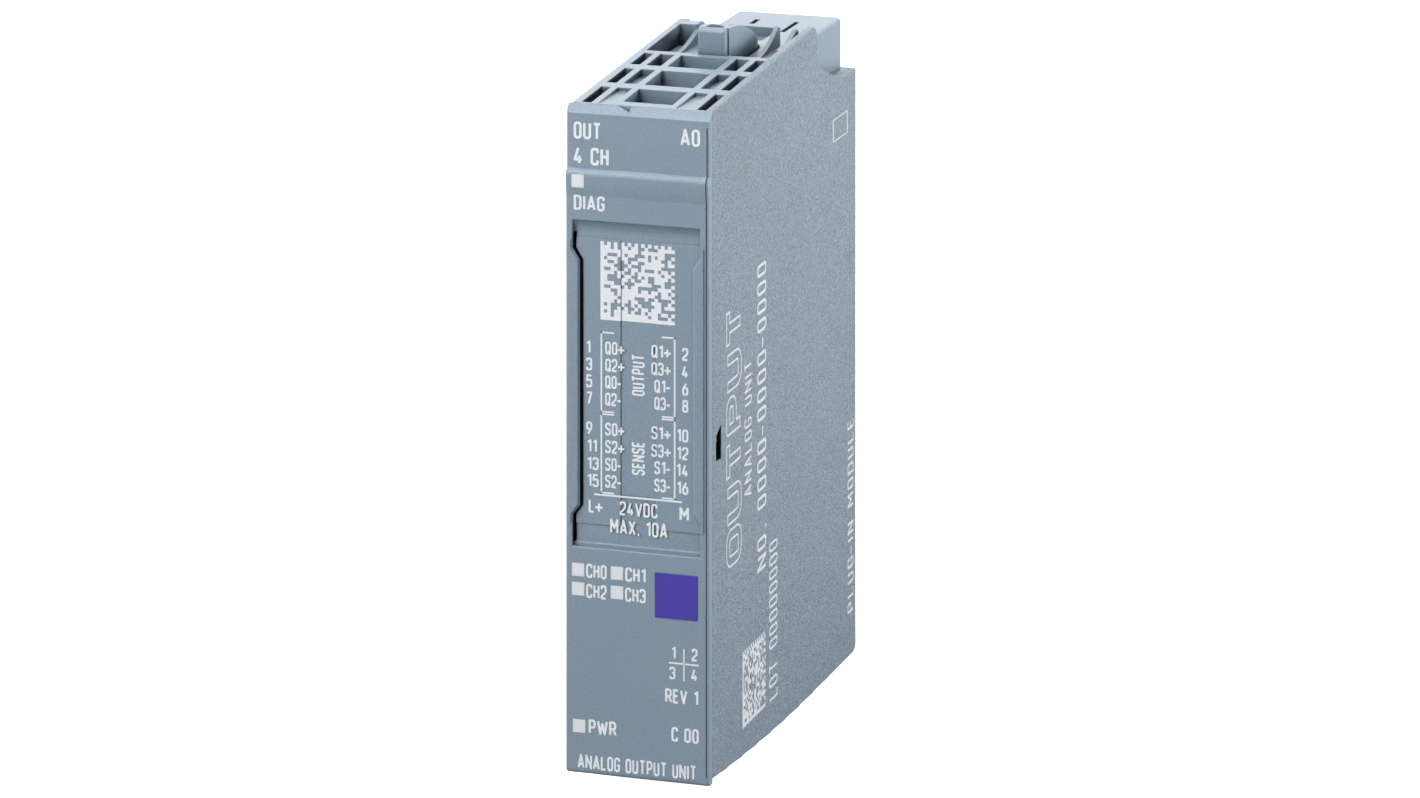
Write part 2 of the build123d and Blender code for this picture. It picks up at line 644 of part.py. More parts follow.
# -------------------------------------------------------------------------- coding pieces
with BuildPart() as coding_carrier:
    box_between(CODING_X, (INNER_BACK - 2.4, SHELL_DEPTH + 2.6), CODING_H)
    with BuildSketch(front_plane(SHELL_DEPTH + 2.6)):
        with Locations((0, (CODING_H[0] + CODING_H[1]) / 2)):
            RectangleRounded(4.9, 5.3, 0.6)
    extrude(amount=4.2, mode=Mode.SUBTRACT)
    box_between(
        (CODING_X[0] - 0.7, CODING_X[1] + 0.7), (INNER_BACK - 2.4, INNER_BACK - 0.6),
        (CODING_H[0] - 0.7, CODING_H[1] + 0.7),
    )
finish(coding_carrier, "coding_carrier")

with BuildPart() as coding_key:
    with BuildSketch(front_plane(SHELL_DEPTH - 1.2)):
        with Locations((0, (CODING_H[0] + CODING_H[1]) / 2)):
            RectangleRounded(4.7, 5.1, 0.5)
    extrude(amount=-(PLUG_REACH - 0.8))
    with BuildSketch(front_plane(SHELL_DEPTH + PLUG_REACH - 2.0)):
        with Locations((0, (CODING_H[0] + CODING_H[1]) / 2)):
            Rectangle(2.6, 1.2)
            with Locations((0.9, 0.9)):
                Rectangle(0.8, 1.6)
    extrude(amount=-1.4)
finish(coding_key, "coding_key")

# ---------------------------------------------------------------------------------- label
with BuildPart() as colour_code_label:
    box_between((1.9, 6.3), (-0.08, 0.0), (16.3, 20.7))
finish(colour_code_label, "colour_code_label")
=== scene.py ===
"""Looks of the slim plug-in output module: materials, prints, light and camera round the CAD frame."""
import functools
import json
import math
import random

import bpy
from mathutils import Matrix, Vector
from mathutils.geometry import delaunay_2d_cdt


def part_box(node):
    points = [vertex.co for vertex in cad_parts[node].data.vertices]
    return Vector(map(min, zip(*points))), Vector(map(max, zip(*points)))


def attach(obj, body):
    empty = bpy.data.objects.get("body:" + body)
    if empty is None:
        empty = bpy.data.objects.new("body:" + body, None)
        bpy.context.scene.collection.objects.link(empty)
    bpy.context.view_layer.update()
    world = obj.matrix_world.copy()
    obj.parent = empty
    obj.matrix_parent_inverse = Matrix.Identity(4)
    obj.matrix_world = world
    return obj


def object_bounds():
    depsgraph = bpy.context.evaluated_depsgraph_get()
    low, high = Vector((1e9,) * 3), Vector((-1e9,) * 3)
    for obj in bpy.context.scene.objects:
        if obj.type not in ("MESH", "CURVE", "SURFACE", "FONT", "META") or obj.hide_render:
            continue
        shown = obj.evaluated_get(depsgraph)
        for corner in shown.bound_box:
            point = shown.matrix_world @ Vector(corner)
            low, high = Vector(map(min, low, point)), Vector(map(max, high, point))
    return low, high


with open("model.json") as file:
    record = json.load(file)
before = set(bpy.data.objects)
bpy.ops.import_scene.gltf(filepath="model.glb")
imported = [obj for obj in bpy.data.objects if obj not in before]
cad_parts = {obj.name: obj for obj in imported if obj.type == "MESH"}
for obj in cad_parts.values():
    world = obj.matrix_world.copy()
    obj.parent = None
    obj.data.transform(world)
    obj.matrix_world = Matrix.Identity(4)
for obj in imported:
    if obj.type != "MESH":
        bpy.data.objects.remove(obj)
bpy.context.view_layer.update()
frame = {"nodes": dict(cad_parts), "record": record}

MM = 0.001

# Places on the object are read from the frame: the label's back lies on the main front face.
FRONT_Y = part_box("colour_code_label")[1].y
FOOT_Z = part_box("front_cover")[0].z
SIDE_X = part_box("side_cover")[1].x
FORWARD = Vector((0, -1, 0))
RIGHT = Vector((1, 0, 0))

# Depths in mm behind the main front face.
HEADER_DEPTH = 0.25
PAD_DEPTH = 0.44  # the label recess's raised pads
LANE_DEPTH = 0.56  # the lane between the pads
LANE_HALF = 1.86  # half the lane's width, mm


# ------------------------------------------------------------------------------ lettering
# Signs are drawn at capital height 1, so the lengths here are shares of the capital height.
STROKE = 0.155
LETTER_GAP = 0.24
WIDE = 0.34  # usual width between stroke centres
MIDDLE = 0.52  # height of the middle bars
TIGHT = 0.16  # corner radii, from small to large
ROUND = 0.17
LARGE = 0.3
ARC_STEPS = 5
SAME_POINT = 1e-3  # points closer than this are one
MERGE_REACH = 1e-5
JOINT_SIDES = 12
LIGHT_WEIGHT = 0.7  # stroke of the light texts against the usual one

# An outlined sign is wider and a little lower; its rim lies between two stroke widths.
OUTLINE_WIDE = 1.8
OUTLINE_LOW = 0.09
OUTLINE_TALL = 0.82
OUTLINE_ROUND = 1.3
OUTER_STROKE = 0.27
INNER_STROKE = 0.17
END_RIM = (OUTER_STROKE - INNER_STROKE) / 2


def line(*points):
    """An open stroke through (x, y) or (x, y, corner radius) points."""
    return False, [(*point, 0)[:3] for point in points]


def loop(*points):
    """A closed stroke through (x, y) or (x, y, corner radius) points."""
    return True, [(*point, 0)[:3] for point in points]


# Rounded corners along the top and the foot of a sign, from left to right.
CROWN = [(0, 1, ROUND), (WIDE, 1, ROUND)]
FOOT = [(0, 0, ROUND), (WIDE, 0, ROUND)]
RING = loop(FOOT[0], *CROWN, FOOT[1])

# Each sign's width, then its strokes.
GLYPHS = {
    "0": (WIDE, [RING]),
    "1": (0.2, [line((0, 0.82), (0.2, 1), (0.2, 0))]),
    "2": (WIDE, [line((0, 0.74), *CROWN, (WIDE, 0.55, 0.18), (0, 0.14, 0.1), (0, 0), (WIDE, 0))]),
    "3": (
        WIDE,
        [
            line((0, 0.78), *CROWN, (WIDE, MIDDLE, ROUND), (0.14, MIDDLE)),
            line((0.14, MIDDLE), (WIDE, MIDDLE, ROUND), *FOOT[::-1], (0, 0.22)),
        ],
    ),
    "4": (
        WIDE + 0.04,
        [line((0.2, 1), (0, 0.24), (WIDE + 0.06, 0.24)), line((WIDE - 0.08, 0.5), (WIDE - 0.08, 0))],
    ),
    "5": (
        WIDE,
        [line((WIDE, 1), (0.02, 1), (0, 0.54), (0.1, 0.6, 0.1), (WIDE, 0.62, ROUND), *FOOT[::-1], (0, 0.2))],
    ),
    "6": (
        WIDE,
        [line((WIDE * 0.72, 1), (0, 0.5, LARGE), *FOOT, (WIDE, 0.6, ROUND), (0.02, 0.6, 0.1))],
    ),
    "7": (WIDE, [line((0, 1), (WIDE, 1), (0.12, 0))]),
    "8": (
        WIDE,
        [
            loop(
                (0.02, MIDDLE, 0.18),
                (0.02, 1, ROUND),
                (WIDE - 0.02, 1, ROUND),
                (WIDE - 0.02, MIDDLE, 0.18),
            ),
            loop((0, 0, ROUND), (0, MIDDLE, ROUND), (WIDE, MIDDLE, ROUND), (WIDE, 0, ROUND)),
        ],
    ),
    "9": (
        WIDE,
        [line((WIDE * 0.28, 0), (WIDE, 0.5, LARGE), *CROWN[::-1], (0, 0.4, ROUND), (WIDE - 0.02, 0.4, 0.1))],
    ),
    "A": (0.42, [line((0, 0), (0.21, 1), (0.42, 0)), line((0.07, 0.26), (0.35, 0.26))]),
    "C": (WIDE, [line((WIDE, 0.74), *CROWN[::-1], *FOOT, (WIDE, 0.26))]),
    "D": (WIDE + 0.02, [loop((0, 0), (0, 1), (WIDE + 0.02, 1, 0.26), (WIDE + 0.02, 0, 0.26))]),
    "E": (0.3, [line((0.3, 1), (0, 1), (0, 0), (0.3, 0)), line((0, MIDDLE), (0.26, MIDDLE))]),
    "G": (WIDE, [line((WIDE, 0.76), *CROWN[::-1], *FOOT, (WIDE, 0.46), (0.18, 0.46))]),
    "H": (WIDE, [line((0, 0), (0, 1)), line((WIDE, 0), (WIDE, 1)), line((0, MIDDLE), (WIDE, MIDDLE))]),
    "I": (0.02, [line((0.01, 0), (0.01, 1))]),
    "L": (0.3, [line((0, 1), (0, 0), (0.3, 0))]),
    "M": (0.46, [line((0, 0), (0, 1), (0.23, 0.38), (0.46, 1), (0.46, 0))]),
    "N": (0.4, [line((0, 0), (0, 1), (0.4, 0), (0.4, 1))]),
    "O": (WIDE, [RING]),
    "P": (WIDE, [line((0, 0), (0, 1), (WIDE, 1, ROUND), (WIDE, 0.44, ROUND), (0, 0.44))]),
    "Q": (WIDE, [RING, line((0.18, 0.22), (WIDE + 0.06, -0.07))]),
    "R": (
        WIDE,
        [
            line((0, 0), (0, 1), (WIDE, 1, ROUND), (WIDE, 0.46, ROUND), (0, 0.46)),
            line((0.2, 0.46), (WIDE + 0.03, 0)),
        ],
    ),
    "S": (
        WIDE,
        [line((WIDE, 0.78), *CROWN[::-1], (0, 0.58, TIGHT), (WIDE, 0.44, TIGHT), *FOOT[::-1], (0, 0.22))],
    ),
    "T": (0.38, [line((0, 1), (0.38, 1)), line((0.19, 1), (0.19, 0))]),
    "U": (WIDE, [line((0, 1), *FOOT, (WIDE, 1))]),
    "V": (0.4, [line((0, 1), (0.2, 0), (0.4, 1))]),
    "W": (0.6, [line((0, 1), (0.15, 0), (0.3, 0.8), (0.45, 0), (0.6, 1))]),
    "X": (0.38, [line((0, 0), (0.38, 1)), line((0, 1), (0.38, 0))]),
    "+": (0.36, [line((-0.1, 0.4), (0.46, 0.4)), line((0.18, 0.74), (0.18, 0.06))]),
    "-": (0.2, [line((-0.1, 0.4), (0.22, 0.4))]),
    ".": (0.04, [line((-0.02, 0.02), (0.09, 0.02))]),
    " ": (0.14, []),
}


def rounded_path(points, closed):
    """A polyline with its corners turned into short arcs, and no point twice."""
    path = []
    count = len(points)
    for i, (x, y, radius) in enumerate(points):
        here = Vector((x, y))
        is_end = not closed and i in (0, count - 1)
        if radius <= 0 or is_end:
            path.append(here)
            continue
        before = Vector(points[i - 1][:2]) - here
        after = Vector(points[(i + 1) % count][:2]) - here
        half_turn = before.angle(after) / 2
        reach = min(radius / math.tan(half_turn), before.length / 2, after.length / 2)
        start = here + before.normalized() * reach
        end = here + after.normalized() * reach
        for step in range(ARC_STEPS + 1):
            t = step / ARC_STEPS
            path.append(start * (1 - t) ** 2 + here * 2 * t * (1 - t) + end * t ** 2)
    ahead = path[1:] + path[:1] if closed else path[1:] + [None]
    return [here for here, after in zip(path, ahead) if after is None or (after - here).length > SAME_POINT]


def stroke_shapes(path, closed, width):
    """Convex shapes that together cover a stroke: a box along each piece and a disc in each joint."""
    count = len(path)
    shapes = []
    for i in range(count if closed else count - 1):
        start, end = path[i], path[(i + 1) % count]
        along = (end - start).normalized()
        across = Vector((-along.y, along.x)) * width / 2
        shapes.append([start - across, end - across, end + across, start + across])
    turns = [math.tau * k / JOINT_SIDES for k in range(JOINT_SIDES)]
    disc = [Vector((math.cos(turn), math.sin(turn))) * width / 2 for turn in turns]
    for joint in path if closed else path[1:-1]:
        shapes.append([joint + corner for corner in disc])
    return shapes


def union_shapes(shapes, holes=()):
    """The union of flat shapes, without what the holes cover, as (points, triangles)."""
    points, faces = [], []
    for shape in [*shapes, *holes]:
        start = len(points)
        points.extend(shape)
        faces.append(list(range(start, start + len(shape))))
    if not faces:
        return [], []
    result = delaunay_2d_cdt(points, [], faces, 0, MERGE_REACH)
    verts, triangles, origins = result[0], result[2], result[5]
    kept = [t for t, origin in zip(triangles, origins) if origin and max(origin) < len(shapes)]
    return [v.to_2d() for v in verts], kept


@functools.cache
def glyph_shape(sign, weight=1.0):
    """The filled shape of one sign; its strokes' centres stay half a stroke inside its height."""
    shapes = []
    for closed, points in GLYPHS[sign][1]:
        fitted = [(x, STROKE / 2 + y * (1 - STROKE), radius) for x, y, radius in points]
        shapes += stroke_shapes(rounded_path(fitted, closed), closed, STROKE * weight)
    return union_shapes(shapes)


def light_shape(sign):
    return glyph_shape(sign, LIGHT_WEIGHT)


@functools.cache
def outline_shape(sign):
    """The rim of a bold, wide sign: what wide strokes cover and narrower ones leave free."""
    outer, inner = [], []
    for closed, points in GLYPHS[sign][1]:
        fitted = [(x * OUTLINE_WIDE, OUTLINE_LOW + y * OUTLINE_TALL, r * OUTLINE_ROUND) for x, y, r in points]
        path = rounded_path(fitted, closed)
        longer = list(path)
        if not closed:
            longer[0] = path[0] + (path[0] - path[1]).normalized() * END_RIM
            longer[-1] = path[-1] + (path[-1] - path[-2]).normalized() * END_RIM
        outer += stroke_shapes(longer, closed, OUTER_STROKE)
        inner += stroke_shapes(path, closed, INNER_STROKE)
    return union_shapes(outer, inner)


def text_width(text, tracking=0.0, spread=1.0):
    letters = sum(GLYPHS[sign][0] * spread + LETTER_GAP + tracking for sign in text)
    return letters - LETTER_GAP - tracking + STROKE


class InkSheet:
    """Collects flat shapes in (u, v) millimetres and turns them into one thin closed mesh."""

    THICK = 0.02  # mm

    def __init__(self):
        self.points = []
        self.triangles = []

    def add(self, points, triangles):
        start = len(self.points)
        self.points.extend(points)
        self.triangles.extend([start + i for i in triangle] for triangle in triangles)

    def bar(self, left, right, low, high):
        corners = [(left, low), (right, low), (right, high), (left, high)]
        self.add([Vector(corner) for corner in corners], [[0, 1, 2], [0, 2, 3]])

    def text(self, text, left, low, height, width=None, tracking=0.0, turned=False, shape=glyph_shape):
        """Text with its lower left corner at (left, low), stretched or turned upwards if asked."""
        spread = OUTLINE_WIDE if shape is outline_shape else 1.0
        squeeze = width / (text_width(text, tracking, spread) * height) if width else 1.0
        pen = STROKE / 2
        for sign in text:
            points, triangles = shape(sign)
            placed = []
            for point in points:
                along = (point.x + pen) * height * squeeze
                up = point.y * height
                placed.append(Vector((left - up, low + along) if turned else (left + along, low + up)))
            self.add(placed, triangles)
            pen += GLYPHS[sign][0] * spread + LETTER_GAP + tracking

    def build(self, name, to_world, normal, slot, material):
        """Closed mesh on the casing: a lower and an upper skin joined round their rims."""
        base = [to_world(point.x, point.y) for point in self.points]
        count = len(base)
        faces, edges = [], set()
        for a, b, c in self.triangles:
            if (base[b] - base[a]).cross(base[c] - base[a]).dot(normal) < 0:
                b, c = c, b
            faces.append((a + count, b + count, c + count))
            faces.append((a, c, b))
            edges.update(((a, b), (b, c), (c, a)))
        rims = [(a, b) for a, b in sorted(edges) if (b, a) not in edges]
        faces.extend((a, b, b + count, a + count) for a, b in rims)
        mesh = bpy.data.meshes.new(name)
        mesh.from_pydata([*base, *(point + normal * self.THICK * MM for point in base)], [], faces)
        mesh.materials.append(material)
        piece = bpy.data.objects.new(name, mesh)
        bpy.context.scene.collection.objects.link(piece)
        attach(piece, "casing")


def front_spot(depth):
    """Maps (x, height) in millimetres onto the front at a depth behind the main face."""
    return lambda x, height: Vector((x * MM, FRONT_Y + depth * MM, FOOT_Z + height * MM))


def side_spot(depth, height):
    """Maps (depth, height) in millimetres onto the textured side."""
    return Vector((SIDE_X, FRONT_Y + depth * MM, FOOT_Z + height * MM))


# ------------------------------------------------------------------------- material nodes
LOOK_SAMPLES = 6  # rays with which a surface looks at its surroundings
EDGE_LEAN = (0.995, 0.75)  # agreement of bevelled and flat normals off and on an edge


def new_material(name):
    """A material with its node tree and its principled shader."""
    material = bpy.data.materials.new(name)
    material.use_nodes = True
    return material, material.node_tree, material.node_tree.nodes["Principled BSDF"]


def add_node(tree, kind, **settings):
    node = tree.nodes.new("ShaderNode" + kind)
    for setting, value in settings.items():
        setattr(node, setting, value)
    return node


def feed(tree, socket, value):
    """Joins a socket to another one, or gives it a plain value."""
    if isinstance(value, bpy.types.NodeSocket):
        tree.links.new(value, socket)
    else:
        socket.default_value = value


def mix_color(tree, factor, first, second, blend="MIX"):
    node = add_node(tree, "Mix", data_type="RGBA", blend_type=blend)
    for socket, value in ((0, factor), (6, first), (7, second)):
        feed(tree, node.inputs[socket], value)
    return node.outputs[2]


def calculate(tree, operation, first, second):
    node = add_node(tree, "Math", operation=operation)
    feed(tree, node.inputs[0], first)
    feed(tree, node.inputs[1], second)
    return node.outputs[0]


def map_range(tree, value, low, high, result_low=0.0, result_high=1.0):
    """Maps a value from low..high to result_low..result_high."""
    node = add_node(tree, "MapRange")
    limits = {"From Min": low, "From Max": high, "To Min": result_low, "To Max": result_high}
    for name, limit in {"Value": value, **limits}.items():
        feed(tree, node.inputs[name], limit)
    return node.outputs["Result"]


def noise(tree, size, detail=2.0, rough=0.5):
    """Noise over the object with features of a size in millimetres."""
    node = add_node(tree, "TexNoise")
    tree.links.new(add_node(tree, "TexCoord").outputs["Object"], node.inputs["Vector"])
    for name, value in {"Scale": 1 / (size * MM), "Detail": detail, "Roughness": rough}.items():
        node.inputs[name].default_value = value
    return node.outputs["Fac"]


def bump(tree, height, depth):
    """A bump node for a height of 0..1 that is depth millimetres deep."""
    node = add_node(tree, "Bump")
    node.inputs["Distance"].default_value = depth * MM
    tree.links.new(height, node.inputs["Height"])
    return node


def bevelled_normal(tree, radius):
    """The surface's normal with its edges rounded at a radius in millimetres."""
    node = add_node(tree, "Bevel", samples=LOOK_SAMPLES)
    node.inputs["Radius"].default_value = radius * MM
    return node.outputs["Normal"]


def edge_mask(tree, radius):
    """1 on edges and 0 on flats, from how far the bevelled normal leans away."""
    node = add_node(tree, "VectorMath", operation="DOT_PRODUCT")
    tree.links.new(bevelled_normal(tree, radius), node.inputs[0])
    tree.links.new(add_node(tree, "NewGeometry").outputs["Normal"], node.inputs[1])
    return map_range(tree, node.outputs["Value"], *EDGE_LEAN)


def tinted(color, share):
    """An opaque colour at a share of its brightness."""
    return (*(min(1, c * share) for c in color), 1)


# ------------------------------------------------------------------------------ materials
CLOUD_SIZE = 9.0  # mm
CLOUD_TINT = (0.94, 0.95, 0.96, 1)
# Painted shade in corners and the depths of openings: how far it reaches and its darkest tint.
PAINTED_SHADE_REACH = 3.5  # mm
PAINTED_SHADE_TINT = (0.22, 0.235, 0.25, 1)
# Painted highlights on the edges: the radius that finds them and how strongly they are lightened.
HIGHLIGHT_RADIUS = 0.09  # mm
HIGHLIGHT_SHARE = 0.7


def moulded_plastic(name, color, rough, grain_size, grain_depth, mottle, edge_radius=0.16):
    """Spark-eroded moulded plastic: fine grain in bump and tone, with painted shade in corners and openings
    and painted highlights on the edges.
    """
    material, tree, shader = new_material(name)
    grain = noise(tree, grain_size, detail=4.0, rough=0.72)
    cloud = map_range(tree, noise(tree, CLOUD_SIZE), 0.25, 0.75)
    tone = map_range(tree, grain, 0.3, 0.7)
    toned = mix_color(tree, tone, tinted(color, 1 - mottle), tinted(color, 1 + mottle))
    clouded = mix_color(tree, cloud, toned, CLOUD_TINT, "MULTIPLY")
    # Painted shade: corners and the depths of openings are darkened where ambient occlusion finds them.
    painted_shade_ao = add_node(tree, "AmbientOcclusion", samples=LOOK_SAMPLES)
    painted_shade_ao.inputs["Distance"].default_value = PAINTED_SHADE_REACH * MM
    unshaded_share = map_range(tree, painted_shade_ao.outputs["AO"], 0.15, 0.85)
    shade = mix_color(tree, unshaded_share, PAINTED_SHADE_TINT, (1, 1, 1, 1))
    shaded = mix_color(tree, 1.0, clouded, shade, "MULTIPLY")
    # Painted highlight: the edges are lightened towards a brighter tint of the colour.
    painted_highlight = calculate(tree, "MULTIPLY", edge_mask(tree, HIGHLIGHT_RADIUS), HIGHLIGHT_SHARE)
    highlight_tint = (*(min(1, c * 1.5 + 0.06) for c in color), 1)
    feed(tree, shader.inputs["Base Color"], mix_color(tree, painted_highlight, shaded, highlight_tint))
    relief = bump(tree, grain, grain_depth)
    tree.links.new(bevelled_normal(tree, edge_radius), relief.inputs["Normal"])
    tree.links.new(relief.outputs["Normal"], shader.inputs["Normal"])
    feed(tree, shader.inputs["Roughness"], map_range(tree, grain, 0, 1, rough - 0.06, rough + 0.08))
    shader.inputs["Specular IOR Level"].default_value = 0.7
    return material


def ink(name, color):
    """Pad-printed ink: matt, with faint thin spots."""
    material, tree, shader = new_material(name)
    speck = noise(tree, 0.12, detail=3.0, rough=0.7)
    cover = map_range(tree, speck, 0.35, 0.6)
    feed(tree, shader.inputs["Base Color"], mix_color(tree, cover, tinted(color, 0.88), (*color, 1)))
    feed(tree, shader.inputs["Normal"], bump(tree, speck, 0.004).outputs["Normal"])
    shader.inputs["Roughness"].default_value = 0.55
    return material


def clear_window(name, color):
    """Frosted light guide: slightly translucent and glossy."""
    material, tree, shader = new_material(name)
    haze = noise(tree, 0.5)
    feed(tree, shader.inputs["Base Color"], mix_color(tree, haze, tinted(color, 0.93), (*color, 1)))
    shader.inputs["Roughness"].default_value = 0.35
    shader.inputs["Subsurface Weight"].default_value = 0.3
    shader.inputs["Subsurface Radius"].default_value = (0.6 * MM, 0.6 * MM, 0.7 * MM)
    shader.inputs["Subsurface Scale"].default_value = 1.0
    return material


def metal(name, color, rough):
    """Plated metal with fine drawn lines."""
    material, tree, shader = new_material(name)
    lines = noise(tree, 0.3, detail=4.0, rough=0.7)
    feed(tree, shader.inputs["Base Color"], mix_color(tree, lines, tinted(color, 0.85), (*color, 1)))
    feed(tree, shader.inputs["Roughness"], map_range(tree, lines, 0, 1, rough - 0.08, rough + 0.12))
    shader.inputs["Metallic"].default_value = 1.0
    return material


def board_laminate(name):
    """Green solder mask with faint copper tracks under it."""
    material, tree, shader = new_material(name)
    turned = add_node(tree, "Mapping")
    turned.inputs["Rotation"].default_value = (0, math.pi / 2, 0)
    tree.links.new(add_node(tree, "TexCoord").outputs["Object"], turned.inputs["Vector"])
    bricks = add_node(tree, "TexBrick")
    tree.links.new(turned.outputs["Vector"], bricks.inputs["Vector"])
    bricks.inputs["Scale"].default_value = 1 / (4 * MM)
    bricks.inputs["Color1"].default_value = (0.02, 0.16, 0.07, 1)
    bricks.inputs["Color2"].default_value = (0.015, 0.13, 0.05, 1)
    bricks.inputs["Mortar"].default_value = (0.05, 0.24, 0.1, 1)
    bricks.inputs["Mortar Size"].default_value = 0.03
    tree.links.new(bricks.outputs["Color"], shader.inputs["Base Color"])
    shader.inputs["Roughness"].default_value = 0.32
    return material


# Colour, roughness, grain size and depth in mm, mottle of the tone, and for one the edge radius in mm.
MOULDED_LOOKS = {
    "front_plastic": ((0.2, 0.268, 0.335), 0.42, 0.22, 0.03, 0.12, 0.06),
    "casing_plastic": ((0.2, 0.265, 0.33), 0.4, 0.18, 0.025, 0.1),
    "side_plastic": ((0.2, 0.265, 0.33), 0.42, 0.2, 0.22, 0.75),
    "chip_black": ((0.03, 0.03, 0.032), 0.55, 0.1, 0.004, 0.1),
    "connector_black": ((0.04, 0.042, 0.046), 0.5, 0.2, 0.01, 0.1),
    "coding_plastic": ((0.2, 0.22, 0.25), 0.5, 0.2, 0.01, 0.08),
    "ceramic": ((0.5, 0.38, 0.26), 0.6, 0.1, 0.003, 0.1),
    "resistor_black": ((0.05, 0.05, 0.055), 0.4, 0.1, 0.003, 0.1),
    "ferrite": ((0.09, 0.09, 0.095), 0.5, 0.15, 0.01, 0.15),
    "winding_tape": ((0.75, 0.56, 0.1), 0.35, 0.3, 0.004, 0.06),
}
# Colour and roughness.
METAL_LOOKS = {
    "contact_metal": ((0.83, 0.66, 0.33), 0.28),
    "capacitor_can": ((0.8, 0.81, 0.82), 0.3),
    "crystal_can": ((0.72, 0.72, 0.73), 0.3),
}


def make_materials():
    """One material for each slot of the record."""
    return {
        **{name: moulded_plastic(name, *look) for name, look in MOULDED_LOOKS.items()},
        **{name: metal(name, *look) for name, look in METAL_LOOKS.items()},
        "window_plastic": clear_window("window_plastic", (0.74, 0.77, 0.81)),
        "led_white": clear_window("led_white", (0.85, 0.84, 0.78)),
        "label_film": ink("label_film", (0.047, 0.034, 0.36)),
        "circuit_board": board_laminate("circuit_board"),
    }


def dress_nodes():
    """Gives every CAD node the material of its slot."""
    materials = make_materials()
    slots = {part["node"]: part["material_slot"] for part in frame["record"]["subparts"]}
    for node, piece in frame["nodes"].items():
        piece.data.materials.clear()
        piece.data.materials.append(materials[slots[node]])


# --------------------------------------------------------------------------------- prints
# Texts on the front as (text, left, low, height, width) in mm; None keeps the natural width.
HEADER_TEXTS = [
    ("OUT", -6.72, 62.95, 1.72, None),
    ("4 CH", -6.72, 60.4, 1.78, None),
    ("AO", 4.45, 62.98, 1.72, 2.05),
]
LOWER_TEXTS = [
    ("DIAG", -6.62, 55.95, 1.5, 3.25),
    ("CH0", -5.3, 19.52, 1.42, 2.15),
    ("CH1", -1.22, 19.52, 1.42, 2.15),
    ("CH2", -5.3, 17.52, 1.42, 2.15),
    ("CH3", -1.22, 17.52, 1.42, 2.15),
    ("PWR", -5.05, 4.08, 1.44, 2.9),
    ("REV 1", 2.95, 7.95, 1.42, 3.45),
    ("C 00", 3.6, 4.18, 1.44, 2.85),
    ("ANALOG OUTPUT UNIT", -6.2, 0.55, 1.45, 12.4),
    ("1", 3.6, 12.3, 1.25, None),
    ("2", 5.7, 12.3, 1.25, None),
    ("3", 3.4, 10.3, 1.25, None),
    ("4", 5.65, 10.3, 1.25, None),
]
PIN_CROSS = [(3.32, 6.45, 11.84, 12.0), (4.84, 4.98, 10.22, 13.4)]  # left, right, low, high
SUPPLY_TEXTS = [
    ("L+", -5.2, 25.9, 1.36, None),
    ("24VDC", -1.94, 25.9, 1.42, 3.95),
    ("M", 4.29, 25.9, 1.36, 1.0),
    ("MAX. 10A", -2.94, 24.0, 1.5, 6.0),
]
LANE_TEXTS = [("OUTPUT", 0.64, 37.85, 1.35, 4.1), ("SENSE", 0.64, 30.0, 1.35, 3.3)]

# The terminals stand in two groups of four rows: outputs above, sense lines below.
GROUP_LETTERS = "QS"
LEFT_ROWS = [(41.67, 39.98, 38.3, 36.6), (33.63, 31.88, 30.14, 28.46)]  # text feet, mm
RIGHT_ROWS = [(41.73, 40.01, 38.3, 36.6), (33.67, 31.92, 30.24, 28.5)]
TERMINAL_TALL = 1.3
NUMBER_RIGHT = 5.22  # right end of the even numbers
NUMBER_LEFT = (-5.46, -5.36)  # left end of the odd numbers with one and with two digits
SIGNAL_LEFT = -3.46
SIGNAL_RIGHT = 3.37
SIGNAL_WIDE = {"+": 2.0, "-": 1.7}
SIGNAL_LIFT = 0.05

BRACKET_PEN = 0.17
BRACKET_SPINES = [(1, -3.86), (-1, 3.8)]  # side its arms point to, x
BRACKET_ARM = 1.34
BRACKET_ARM_PEN = 0.16
BRACKET_FEET = (27.9, 35.7, 35.94)
BRACKET_TOP = 43.97
BASE_LINE = (-4.62, 4.56, 27.66, 27.84)  # left, right, low, high

# Side texts as (text, depth, low, height, width) in mm.
OUTLINED_TEXT = ("OUTPUT", 10.3, 20.0, 4.6, 25.5)
SIDE_TEXTS = [
    ("ANALOG UNIT", 13.9, 25.2, 2.5, 13.8),
    ("NO. 0000-0000-0000", 18.8, 16.6, 3.2, 31.2),
    ("LOT 00000000", 22.6, 2.4, 3.0, 16.2),
    ("PLUG-IN MODULE", 49.6, 3.4, 2.3, 20.6),
]
OUTLINED_TRACKING = 0.14
SIDE_TRACKING = 0.06
FRAME_DEPTHS = (42.0, 47.4)  # small printed frame near the top
FRAME_HEIGHTS = (54.6, 57.0)
FRAME_PENS = (0.12, 0.3)  # its level and upright lines

CELLS = 22  # along one side of a cell pattern
CELL_FILL = 0.54
CELL_OVERLAP = 0.03
FRONT_PATTERN = (-3.95, 45.15, 7.75, 7)  # left, low, size, seed
SIDE_PATTERN = (10.8, 2.5, 7.65, 11)


def cell_squares(left, low, size, seed):
    """Squares of a plain pattern of random cells with two solid and two dotted sides."""
    dice = random.Random(seed)
    step = size / CELLS
    grow = step * CELL_OVERLAP
    last = CELLS - 1
    squares = []
    for row in range(CELLS):
        for column in range(CELLS):
            solid = row == 0 or column == 0
            dotted = (row == last and column % 2 == 0) or (column == last and row % 2 == 0)
            inside = 0 < row < last and 0 < column < last
            if solid or dotted or (inside and dice.random() < CELL_FILL):
                near = Vector((left + column * step - grow, low + row * step - grow))
                wide = Vector((step + 2 * grow, 0))
                tall = Vector((0, step + 2 * grow))
                squares.append([near, near + wide, near + wide + tall, near + tall])
    return squares


def in_lane(square):
    return abs((square[0].x + square[2].x) / 2) < LANE_HALF


def print_front(name, sheet, depth, material):
    sheet.build(name, front_spot(depth), FORWARD, "front_plastic", material)


